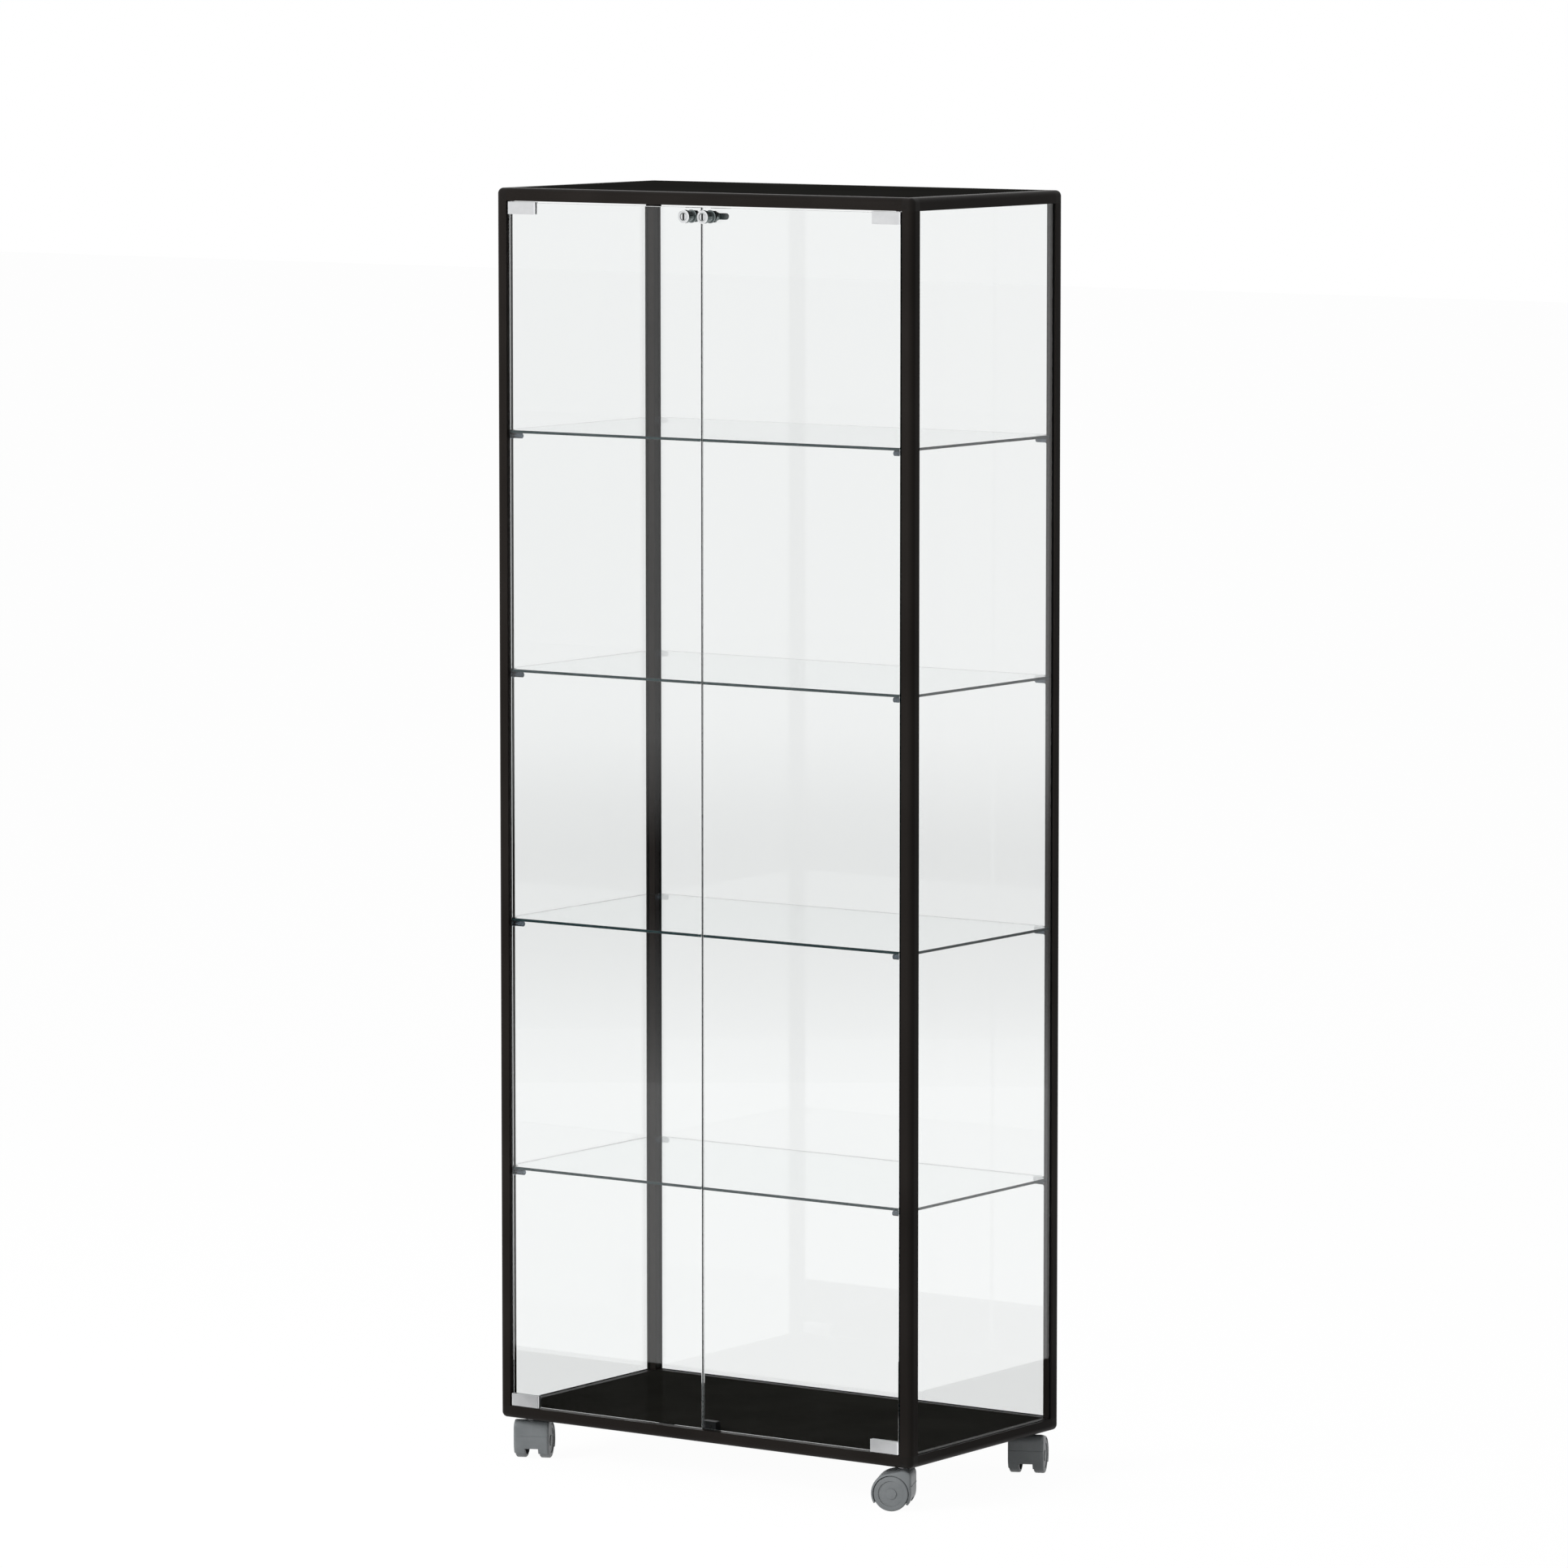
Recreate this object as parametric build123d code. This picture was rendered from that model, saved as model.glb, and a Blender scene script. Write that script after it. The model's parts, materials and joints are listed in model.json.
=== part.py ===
from build123d import *
import os

os.makedirs("parts", exist_ok=True)

# Overall frame
frame_width = 711.0
frame_depth = 376.0
frame_height = 1760.0
castor_height = 63.0

# Corner extrusion, seen in section from its outer corner
bar = 18.0
outer_radius = 8.0
inner_edge_radius = 1.0
bar_wall = 1.6
lip_reach = 8.0
lip_thickness = 2.0

# Fixed glass, held in grooves of the bars
pane_thickness = 4.0
pane_inset = 3.0
pane_edge_gap = 1.0
groove_depth = 5.0
groove_wall = 1.5
groove_side_gap = 0.75
seal_clearance = 0.1
seal_proud = 0.3

# Three way corner connectors
spigot_size = 6.6
spigot_length = 26.0
spigot_chamfer = 1.5

# Top and base panels
top_panel_thickness = 8.0
base_panel_thickness = 16.0
panel_gap = 0.4
panel_edge_break = 0.6

# Glass shelves, by the height of their top face above the frame's underside
shelf_heights = [363.7, 721.5, 1077.8, 1417.5]
shelf_thickness = 4.0
shelf_front_inset = 10.0
shelf_side_inset = 9.0
shelf_corner_gap = 2.0
shelf_edge_break = 0.5

# Shelf supports
pin_diameter = 7.5
pin_length = 19.0
pin_setback = 13.0
pin_flange_diameter = 10.6
pin_flange_thickness = 1.5
pin_stud_diameter = 5.0
pin_edge_break = 0.6
pin_rest_gap = 0.05

# Glass doors
door_thickness = 5.0
door_inset = 1.5
door_split = 2.0
door_side_gap = 3.5
door_end_gap = 2.5
door_edge_break = 0.5

# Pivot hinges of the doors
pivot_from_post = 7.5
pivot_diameter = 4.0
pivot_reach = 7.0
pivot_clearance = 0.05
hinge_length = 48.0
hinge_height = 17.5
hinge_cheek = 2.0
hinge_rail_gap = 1.2
hinge_stub = 5.0
hinge_corner_radius = 2.0
hinge_screw_diameter = 5.0
hinge_screw_depth = 0.6
bush_diameter = 6.0
bush_flange_diameter = 7.6
bush_flange_thickness = 0.6
bush_length = 9.0
fit_clearance = 0.1

# Cam locks
lock_from_split = 15.0
lock_below_rail = 14.8
lock_disc_diameter = 18.5
lock_disc_thickness = 2.4
lock_neck_diameter = 14.5
lock_neck_length = 11.3
lock_head_length = 7.0
lock_edge_break = 0.7
lock_barrel_diameter = 12.0
lock_behind_front = 19.2
lock_nut_across = 16.0
lock_nut_thickness = 4.0
plug_diameter = 11.0
plug_length = 12.0
plug_recess = 0.4
plug_spindle_diameter = 7.0
key_slot_width = 1.6
key_slot_height = 8.0
key_slot_depth = 4.0
cam_thickness = 1.8
cam_width = 9.0
cam_reach = 19.0
cam_bolt_diameter = 6.5
cam_bolt_head = 1.6

# Door stop on the base
stop_width = 24.0
stop_height = 12.8
stop_depth = 12.0
stop_middle = 7.0
stop_glass_gap = 2.0
stop_edge_radius = 1.2
bumper_diameter = 3.6
bumper_glass_gap = 0.3
bumper_from_split = [-3.0, 10.0]

# Twin wheel castors
wheel_diameter = 50.0
wheel_width = 15.0
wheel_gap = 20.0
wheel_edge_radius = 2.5
wheel_rim_diameter = 42.0
wheel_dish_diameter = 36.0
wheel_dish_depth = 1.0
wheel_hub_diameter = 15.0
wheel_wall = 3.0
wheel_web_clearance = 0.6
axle_diameter = 6.0
axle_seat_depth = 11.0
axle_clearance = 0.08
hood_wheel_gap = 1.4
hood_thickness = 2.2
hood_side_reach = 0.6
hood_lower_edge = 33.0
hood_top = 58.0
hood_edge_break = 0.7
web_radius = 11.0
swivel_trail = 15.0
castor_inset = 33.0
stem_diameter = 8.0
stem_clearance = 0.1
stem_seat_depth = 24.0
stem_floor = 2.5
collar_diameter = 17.0
collar_thickness = 3.0
collar_gap = 0.3
neck_diameter = 12.0
insert_diameter = 12.0
insert_depth = 12.0
castor_turn = {"front_left": 26.0, "front_right": 115.0, "rear_left": 27.0, "rear_right": 25.0}

# Heights and planes that follow from the sizes above
half_width = frame_width / 2
half_depth = frame_depth / 2
frame_base = castor_height
frame_top = frame_base + frame_height
middle_height = (frame_base + frame_top) / 2
opening_bottom = frame_base + bar
opening_top = frame_top - bar
groove_start = pane_inset - groove_side_gap
groove_width = pane_thickness + 2 * groove_side_gap
groove_end = groove_start + groove_width
chamber_start = groove_end + groove_wall
spigot_middle = (chamber_start + bar - bar_wall) / 2
pane_edge = bar - groove_depth + pane_edge_gap
base_lip_start = bar - base_panel_thickness - lip_thickness
top_lip_start = top_panel_thickness
panel_underside = opening_bottom - base_panel_thickness
door_middle = -half_depth + door_inset + door_thickness / 2
pivot_x = half_width - bar - pivot_from_post
web_width = wheel_gap - 2 * wheel_web_clearance
wheel_radius = wheel_diameter / 2
corners = {"front_left": (-1, -1), "front_right": (1, -1), "rear_left": (-1, 1), "rear_right": (1, 1)}


def save(shape, name):
    shape.label = name
    export_step(shape, f"parts/{name}.step")


def group(solids):
    return Compound(children=list(solids))


def block(x, y, z):
    """A box between two values on each axis."""
    size = (x[1] - x[0], y[1] - y[0], z[1] - z[0])
    centre = ((x[0] + x[1]) / 2, (y[0] + y[1]) / 2, (z[0] + z[1]) / 2)
    return Pos(*centre) * Box(*size)


def to_corner(shape, side_x, side_y, side_z=-1):
    """Takes a piece made for the front, left, lower corner to another corner."""
    if side_x > 0:
        shape = mirror(shape, about=Plane.YZ)
    if side_y > 0:
        shape = mirror(shape, about=Plane.XZ)
    if side_z > 0:
        shape = mirror(shape, about=Plane.XY.offset(middle_height))
    return shape


def bar_section(grooves):
    """Hollow bar with a rounded outer corner at the origin and grooves in its inner faces."""
    outline = Pos(bar / 2, bar / 2) * Rectangle(bar, bar)
    outline = fillet(outline.vertices().sort_by_distance((0, 0, 0))[0], outer_radius)
    outline = fillet(outline.vertices().sort_by_distance((bar, bar, 0))[0], inner_edge_radius)
    section = outline - offset(outline, -bar_wall)
    channel_depth = groove_depth + groove_wall
    groove_middle = (groove_start + groove_end) / 2
    cuts = []
    if "v" in grooves:
        section += Pos(chamber_start / 2, bar - channel_depth / 2) * Rectangle(chamber_start, channel_depth)
        cuts.append(Pos(groove_middle, bar - groove_depth / 2) * Rectangle(groove_width, groove_depth))
    if "u" in grooves:
        section += Pos(bar - channel_depth / 2, chamber_start / 2) * Rectangle(channel_depth, chamber_start)
        cuts.append(Pos(bar - groove_depth / 2, groove_middle) * Rectangle(groove_depth, groove_width))
    section = section & outline
    for cut in cuts:
        section -= cut
    return section


def along_z(section, start, end):
    plane = Plane(origin=(-half_width, -half_depth, start), x_dir=(1, 0, 0), z_dir=(0, 0, 1))
    return extrude(plane * section, amount=end - start)


def along_x(section, start, end):
    plane = Plane(origin=(start, -half_depth, frame_base), x_dir=(0, 1, 0), z_dir=(1, 0, 0))
    return extrude(plane * section, amount=end - start)


def along_y(section, start, end):
    plane = Plane(origin=(-half_width, end, frame_base), x_dir=(1, 0, 0), z_dir=(0, -1, 0))
    return extrude(plane * section, amount=end - start)


def lip_section(lip_start):
    """Ledge on a rail's inner face that carries a panel."""
    reach = lip_reach + bar_wall / 2
    return Pos(bar + lip_reach - reach / 2, lip_start + lip_thickness / 2) * Rectangle(reach, lip_thickness)


def pin_height(shelf_height):
    return frame_base + shelf_height - shelf_thickness - pin_rest_gap - pin_diameter / 2


def make_post(side_x, side_y):
    post = along_z(bar_section("vu" if side_y > 0 else "v"), opening_bottom, opening_top)
    for height in shelf_heights:
        place = Pos(bar - half_width - bar_wall / 2, pin_setback - half_depth, pin_height(height))
        post -= place * Rot(0, 90, 0) * Cylinder(pin_stud_diameter / 2 + fit_clearance, 2 * bar_wall)
    return to_corner(post, side_x, side_y)


def make_front_rail(side_z):
    reach = half_width - bar
    rail = along_x(bar_section(""), -reach, reach)
    if side_z < 0:
        rail += along_x(lip_section(base_lip_start), -reach, reach)
    for side in (-1, 1):
        bore = Cylinder(bush_diameter / 2 + fit_clearance, bush_length + fit_clearance)
        rail -= Pos(side * pivot_x, door_middle, opening_bottom - (bush_length + fit_clearance) / 2) * bore
    return to_corner(rail, -1, -1, side_z)


def make_front_ledge():
    """Strip behind the front top rail that carries the panel, above the cams of the locks."""
    reach = half_width - bar
    depth = lip_reach - fit_clearance
    middle = bar + lip_reach - depth / 2
    section = Pos(middle, top_lip_start + lip_thickness / 2) * Rectangle(depth, lip_thickness)
    return to_corner(along_x(section, -reach, reach), -1, -1, 1)


def make_rear_rail(side_z):
    reach = half_width - bar
    rail = along_x(bar_section("v"), -reach, reach)
    rail += along_x(lip_section(top_lip_start if side_z > 0 else base_lip_start), -reach, reach)
    return to_corner(rail, -1, 1, side_z)


def make_side_rail(side_x, side_z):
    reach = half_depth - bar
    lip_end = reach - lip_reach - panel_gap
    rail = along_y(bar_section("v"), -reach, reach)
    rail += along_y(lip_section(top_lip_start if side_z > 0 else base_lip_start), -lip_end, lip_end)
    return to_corner(rail, side_x, -1, side_z)


def make_connector(side_x, side_y, side_z):
    """Corner block with a rounded outer corner and a spigot into each of its three bars."""
    block_middle = bar / 2
    body = Pos(block_middle, block_middle, block_middle) * Box(bar, bar, bar)
    outer_edges = body.edges().sort_by_distance((0, 0, 0))[:3]
    body = fillet(outer_edges, outer_radius)
    groove = (groove_start, groove_end)
    end = (bar - groove_depth, bar)
    body -= block(groove, end, end)
    if side_y > 0:
        body -= block(end, groove, end)
    start = bar - bar_wall
    length = spigot_length + bar_wall
    spigot = Pos(0, 0, start + length / 2) * Box(spigot_size, spigot_size, length)
    spigot = chamfer(spigot.faces().sort_by(Axis.Z)[-1].edges(), spigot_chamfer)
    upright = Pos(spigot_middle, spigot_middle, 0) * spigot
    crosswise = Pos(0, spigot_middle, spigot_middle) * Rot(0, 90, 0) * spigot
    inwards = Pos(spigot_middle, 0, spigot_middle) * Rot(-90, 0, 0) * spigot
    body = body + upright + crosswise + inwards
    return to_corner(Pos(-half_width, -half_depth, frame_base) * body, side_x, side_y, side_z)


def pane_box(grow):
    """Outline of a side pane on the left, grown by a margin."""
    reach = half_depth - pane_edge + grow
    x_start = -half_width + pane_inset
    height = (frame_base + pane_edge - grow, frame_top - pane_edge + grow)
    return block((x_start - grow, x_start + pane_thickness + grow), (-reach, reach), height)


def rear_pane_box(grow):
    reach = half_width - pane_edge + grow
    y_end = half_depth - pane_inset
    height = (frame_base + pane_edge - grow, frame_top - pane_edge + grow)
    return block((-reach, reach), (y_end - pane_thickness - grow, y_end + grow), height)


def make_side_seal():
    """Channel gasket round the edge of the left pane."""
    wide = groove_side_gap - seal_clearance
    x = (-half_width + pane_inset - wide, -half_width + pane_inset + pane_thickness + wide)
    outer = bar - groove_depth + seal_clearance
    inner = bar + seal_proud
    ring = block(x, (outer - half_depth, half_depth - outer), (frame_base + outer, frame_top - outer))
    core = (inner - half_depth, half_depth - inner)
    ring -= block((x[0] - bar, x[1] + bar), core, (frame_base + inner, frame_top - inner))
    return ring - pane_box(seal_clearance)


def make_rear_seal():
    wide = groove_side_gap - seal_clearance
    y = (half_depth - pane_inset - pane_thickness - wide, half_depth - pane_inset + wide)
    outer = bar - groove_depth + seal_clearance
    inner = bar + seal_proud
    ring = block((outer - half_width, half_width - outer), y, (frame_base + outer, frame_top - outer))
    core = (inner - half_width, half_width - inner)
    ring -= block(core, (y[0] - bar, y[1] + bar), (frame_base + inner, frame_top - inner))
    return ring - rear_pane_box(seal_clearance)


def make_panel(bottom, thickness):
    reach_x = half_width - bar - panel_gap
    reach_y = half_depth - bar - panel_gap
    panel = block((-reach_x, reach_x), (-reach_y, reach_y), (bottom, bottom + thickness))
    return chamfer(panel.faces().sort_by(Axis.Z)[-1].edges(), panel_edge_break)


def castor_place(side_x, side_y):
    return (side_x * (half_width - castor_inset), side_y * (half_depth - castor_inset))


def make_base_panel():
    panel = make_panel(panel_underside, base_panel_thickness)
    for side_x, side_y in corners.values():
        x, y = castor_place(side_x, side_y)
        hole = Cylinder(insert_diameter / 2 + fit_clearance, insert_depth + fit_clearance)
        panel -= Pos(x, y, panel_underside + (insert_depth + fit_clearance) / 2) * hole
    return panel


def make_shelf(shelf_height):
    top = frame_base + shelf_height
    reach = half_width - shelf_side_inset
    y_start = -half_depth + shelf_front_inset
    y_end = half_depth - shelf_side_inset
    plate = block((-reach, reach), (y_start, y_end), (top - shelf_thickness, top))
    post_edge = bar + shelf_corner_gap
    for side_x, side_y in corners.values():
        x = sorted((side_x * (half_width - post_edge), side_x * half_width))
        y = sorted((side_y * (half_depth - post_edge), side_y * half_depth))
        plate -= block(x, y, (top - bar, top + bar))
    flat_edges = plate.faces().sort_by(Axis.Z)[-1].edges() + plate.faces().sort_by(Axis.Z)[0].edges()
    return chamfer(flat_edges, shelf_edge_break)


def make_pin(side_x, side_y, shelf_height):
    """Shelf support that plugs into a post's inner face and points across the cabinet."""
    stud = Pos(0, 0, -bar_wall / 2) * Cylinder(pin_stud_diameter / 2, bar_wall)
    flange = Pos(0, 0, pin_flange_thickness / 2) * Cylinder(pin_flange_diameter / 2, pin_flange_thickness)
    body = Pos(0, 0, pin_length / 2) * Cylinder(pin_diameter / 2, pin_length)
    body = chamfer(body.faces().sort_by(Axis.Z)[-1].edges(), pin_edge_break)
    pin = stud + flange + body
    place = Pos(bar - half_width, pin_setback - half_depth, pin_height(shelf_height))
    return to_corner(place * Rot(0, 90, 0) * pin, side_x, side_y)


def lock_axis_x():
    return door_split / 2 + lock_from_split


def lock_axis_z():
    return opening_top - lock_below_rail


def make_door_glass(side_x):
    """Left door, mirrored for the right one."""
    x = (-half_width + bar + door_side_gap, -door_split / 2)
    y = (-half_depth + door_inset, -half_depth + door_inset + door_thickness)
    z = (opening_bottom + door_end_gap, opening_top - door_end_gap)
    glass = block(x, y, z)
    glass = chamfer(glass.edges(), door_edge_break)
    hole = Rot(90, 0, 0) * Cylinder(lock_barrel_diameter / 2 + fit_clearance, 2 * door_thickness)
    glass -= Pos(-lock_axis_x(), door_middle, lock_axis_z()) * hole
    return to_corner(glass, side_x, -1)


def make_hinge(side_x, side_z):
    """Clip over the glass edge with a pivot pin, made for the lower end of the left door."""
    depth = door_thickness + 2 * hinge_cheek
    x_start = -pivot_x - hinge_stub
    z_start = opening_bottom + hinge_rail_gap
    x = (x_start, x_start + hinge_length)
    z = (z_start, z_start + hinge_height)
    clip = block(x, (door_middle - depth / 2, door_middle + depth / 2), z)
    clip = fillet(clip.edges().filter_by(Axis.Z), hinge_corner_radius)
    slot_half = door_thickness / 2 + pivot_clearance
    slot_start = opening_bottom + door_end_gap - pivot_clearance
    slot_y = (door_middle - slot_half, door_middle + slot_half)
    clip -= block((x[0] - bar, x[1] + bar), slot_y, (slot_start, z[1] + bar))
    for share in (1 / 3, 2 / 3):
        place = Pos(x[0] + share * hinge_length, door_middle + depth / 2, (slot_start + z[1]) / 2)
        clip -= place * Rot(90, 0, 0) * Cylinder(hinge_screw_diameter / 2, 2 * hinge_screw_depth)
    pin = Cylinder(pivot_diameter / 2, pivot_reach + hinge_cheek / 2)
    clip += Pos(-pivot_x, door_middle, z_start + hinge_cheek / 2 - (pivot_reach + hinge_cheek / 2) / 2) * pin
    return to_corner(clip, side_x, -1, side_z)


def make_bush(side_x, side_z):
    """Flanged pivot bush in the front rail."""
    body = Pos(0, 0, -bush_length / 2) * Cylinder(bush_diameter / 2, bush_length)
    body += Pos(0, 0, bush_flange_thickness / 2) * Cylinder(bush_flange_diameter / 2, bush_flange_thickness)
    body -= Cylinder(pivot_diameter / 2 + pivot_clearance, 4 * bush_length)
    return to_corner(Pos(-pivot_x, door_middle, opening_bottom) * body, side_x, -1, side_z)


def turned(steps, start):
    """Cylinders in a row along +Y, each given as a diameter and a length."""
    shape = None
    y = start
    for diameter, length in steps:
        piece = Pos(0, y + length / 2, 0) * Rot(90, 0, 0) * Cylinder(diameter / 2, length)
        piece = chamfer(piece.edges().filter_by(GeomType.CIRCLE), lock_edge_break)
        shape = piece if shape is None else shape + piece
        y += length
    return shape


def lock_front():
    """Y of the lock's front face."""
    return -half_depth + door_inset - lock_disc_thickness - lock_neck_length - lock_head_length


def make_lock_body(side_x):
    """Lock case with two discs and a neck before the glass, and its nut behind."""
    glass_front = -half_depth + door_inset
    neck = lock_neck_length + 2 * lock_edge_break
    case = turned([(lock_disc_diameter, lock_head_length)], lock_front())
    case += turned([(lock_neck_diameter, neck)], lock_front() + lock_head_length - lock_edge_break)
    case += turned([(lock_disc_diameter, lock_disc_thickness)], glass_front - lock_disc_thickness)
    barrel_length = lock_behind_front - door_inset + lock_edge_break
    case += turned([(lock_barrel_diameter, barrel_length)], glass_front - lock_edge_break)
    hexagon = RegularPolygon(lock_nut_across / 2, 6, major_radius=False)
    nut = Rot(90, 0, 0) * extrude(hexagon, lock_nut_thickness)
    case += Pos(0, glass_front + door_thickness + lock_nut_thickness, 0) * nut
    plug_bore = Cylinder(plug_diameter / 2 + fit_clearance, plug_length + fit_clearance)
    case -= Pos(0, lock_front() + (plug_length + fit_clearance) / 2, 0) * Rot(90, 0, 0) * plug_bore
    spindle_bore = Cylinder(plug_spindle_diameter / 2 + fit_clearance, 4 * lock_behind_front)
    case -= Rot(90, 0, 0) * Pos(0, 0, half_depth) * spindle_bore
    return to_corner(Pos(-lock_axis_x(), 0, lock_axis_z()) * case, side_x, -1)


def make_lock_cam(side_x):
    """Plug with a key slot, its spindle, and the cam plate behind the glass."""
    front = lock_front() + plug_recess
    cam_start = -half_depth + lock_behind_front + fit_clearance
    plug = turned([(plug_diameter, plug_length - plug_recess - fit_clearance)], front)
    spindle_length = cam_start - front - plug_length / 2
    spindle = Pos(0, cam_start - spindle_length / 2, 0) * Rot(90, 0, 0)
    plug += spindle * Cylinder(plug_spindle_diameter / 2, spindle_length)
    slot_half = key_slot_width / 2
    slot_reach = key_slot_height / 2
    plug -= block((-slot_half, slot_half), (front - 1, front + key_slot_depth), (-slot_reach, slot_reach))
    arm = SlotCenterToCenter(cam_reach - cam_width / 2, cam_width)
    plate = Plane.XZ * Pos(-(cam_reach - cam_width / 2) / 2, 0) * arm
    plug += Pos(0, cam_start + cam_thickness, 0) * extrude(plate, cam_thickness)
    head = Pos(0, cam_start + cam_thickness + cam_bolt_head / 2, 0) * Rot(90, 0, 0)
    plug += head * Cylinder(cam_bolt_diameter / 2, cam_bolt_head)
    return to_corner(Pos(-lock_axis_x(), 0, lock_axis_z()) * plug, side_x, -1)


def stop_front():
    return -half_depth + door_inset + door_thickness + stop_glass_gap


def make_stop():
    x = (stop_middle - stop_width / 2, stop_middle + stop_width / 2)
    z = (opening_bottom, opening_bottom + stop_height)
    stop = block(x, (stop_front(), stop_front() + stop_depth), z)
    top_edges = stop.faces().sort_by(Axis.Z)[-1].edges()
    return fillet(top_edges, stop_edge_radius)


def make_bumper(x):
    """Soft button that the closed door meets."""
    length = stop_glass_gap - bumper_glass_gap
    button = Rot(90, 0, 0) * Cylinder(bumper_diameter / 2, length)
    button = fillet(button.faces().sort_by(Axis.Y)[0].edges(), length / 3)
    return Pos(x, stop_front() - length / 2, opening_bottom + stop_height / 2) * button


def castor_frame(name):
    """Place of a castor's swivel axis on the floor, with X along its axle."""
    x, y = castor_place(*corners[name])
    return Pos(x, y, 0) * Rot(0, 0, castor_turn[name])


def make_hood():
    """Castor body with a mudguard over both wheels, a centre web and a swivel boss."""
    inner_radius = wheel_radius + hood_wheel_gap
    outer = inner_radius + hood_thickness
    full_width = wheel_gap + 2 * wheel_width + 2 * hood_side_reach
    above = Pos(0, hood_lower_edge - wheel_radius + outer) * Rectangle(2 * outer, 2 * outer)
    guard = (Circle(outer) - Circle(inner_radius)) & above
    web = (Circle(outer) & above) + Circle(web_radius)
    neck_height = hood_lower_edge - wheel_radius
    web += Pos(0, neck_height / 2) * Rectangle(2 * web_radius, neck_height)
    side_view = Plane(origin=(0, swivel_trail, wheel_radius), x_dir=(0, 1, 0), z_dir=(1, 0, 0))
    hood = extrude(side_view * guard, full_width / 2, both=True)
    rims = hood.edges().filter_by(GeomType.CIRCLE).group_by(SortBy.RADIUS)[-1]
    hood = fillet(rims, hood_edge_break)
    hood += extrude(side_view * web, web_width / 2, both=True)
    boss_bottom = hood_top - stem_seat_depth - stem_floor
    boss = Pos(0, 0, (hood_top + boss_bottom) / 2) * Cylinder(web_width / 2, hood_top - boss_bottom)
    hood += chamfer(boss.edges().filter_by(GeomType.CIRCLE), hood_edge_break)
    stem_bore = Cylinder(stem_diameter / 2 + stem_clearance, stem_seat_depth)
    hood -= Pos(0, 0, hood_top - stem_seat_depth / 2) * stem_bore
    axle_bore = Cylinder(axle_diameter / 2 + axle_clearance, 2 * web_width)
    return hood - Pos(0, swivel_trail, wheel_radius) * Rot(0, 90, 0) * axle_bore


def make_axle():
    length = web_width + 2 * axle_seat_depth
    return Pos(0, swivel_trail, wheel_radius) * Rot(0, 90, 0) * Cylinder(axle_diameter / 2, length)


def make_wheel(side):
    """One wheel of the pair, dished outside and hollow on the web's side."""
    tread = Cylinder(wheel_radius, wheel_width)
    disc = fillet(tread.edges().filter_by(GeomType.CIRCLE), wheel_edge_radius)
    outer_face = wheel_width / 2
    hub = Cylinder(wheel_hub_diameter / 2, 4 * wheel_dish_depth)
    dish = Cylinder(wheel_dish_diameter / 2, 2 * wheel_dish_depth) - hub
    disc -= Pos(0, 0, outer_face) * dish
    hollow = Cylinder(wheel_rim_diameter / 2, wheel_width) - Cylinder(wheel_hub_diameter / 2, wheel_width)
    disc -= Pos(0, 0, -wheel_wall - wheel_dish_depth) * hollow
    seat = axle_seat_depth - wheel_web_clearance + fit_clearance
    disc -= Pos(0, 0, -outer_face + seat / 2) * Cylinder(axle_diameter / 2 + axle_clearance, seat)
    place = Pos(side * (wheel_gap + wheel_width) / 2, swivel_trail, wheel_radius)
    return place * Rot(0, side * 90, 0) * disc


def make_stem():
    """Threaded stem with its collar, from the hood's boss up into the base panel."""
    top = panel_underside + insert_depth - fit_clearance
    shaft_bottom = hood_top - stem_seat_depth + fit_clearance
    stem = Pos(0, 0, (shaft_bottom + top) / 2) * Cylinder(stem_diameter / 2, top - shaft_bottom)
    collar_bottom = hood_top + collar_gap
    stem += Pos(0, 0, collar_bottom + collar_thickness / 2) * Cylinder(collar_diameter / 2, collar_thickness)
    neck = panel_underside - collar_bottom
    return stem + Pos(0, 0, collar_bottom + neck / 2) * Cylinder(neck_diameter / 2, neck)


def make_insert():
    bore = Cylinder(stem_diameter / 2 + stem_clearance, 2 * insert_depth)
    shell = Cylinder(insert_diameter / 2, insert_depth) - bore
    return Pos(0, 0, panel_underside + insert_depth / 2) * shell


for name, (side_x, side_y) in corners.items():
    save(make_post(side_x, side_y), f"{name}_post")
for end, side_z in (("bottom", -1), ("top", 1)):
    save(make_front_rail(side_z), f"front_{end}_rail")
    save(make_rear_rail(side_z), f"rear_{end}_rail")
    save(make_side_rail(-1, side_z), f"left_{end}_rail")
    save(make_side_rail(1, side_z), f"right_{end}_rail")
save(make_front_ledge(), "front_top_ledge")
connectors = [make_connector(x, y, z) for x, y in corners.values() for z in (-1, 1)]
save(group(connectors), "corner_connectors")

save(make_panel(frame_top - top_panel_thickness, top_panel_thickness), "top_panel")
save(make_base_panel(), "base_panel")
save(pane_box(0), "left_side_glass")
save(to_corner(pane_box(0), 1, -1), "right_side_glass")
save(rear_pane_box(0), "rear_glass")
save(group([make_side_seal(), to_corner(make_side_seal(), 1, -1), make_rear_seal()]), "glazing_seals")

for number, height in enumerate(shelf_heights, start=1):
    save(make_shelf(height), f"shelf_{number}")
    save(group([make_pin(x, y, height) for x, y in corners.values()]), f"shelf_pins_{number}")

for side_name, side_x in (("left", -1), ("right", 1)):
    save(make_door_glass(side_x), f"{side_name}_door_glass")
    save(make_hinge(side_x, -1), f"{side_name}_hinge_bottom")
    save(make_hinge(side_x, 1), f"{side_name}_hinge_top")
    save(make_lock_body(side_x), f"{side_name}_lock_body")
    save(make_lock_cam(side_x), f"{side_name}_lock_cam")
save(group([make_bush(x, z) for x in (-1, 1) for z in (-1, 1)]), "pivot_bushes")
save(make_stop(), "door_stop")
save(group([make_bumper(x) for x in bumper_from_split]), "stop_bumpers")

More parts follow.
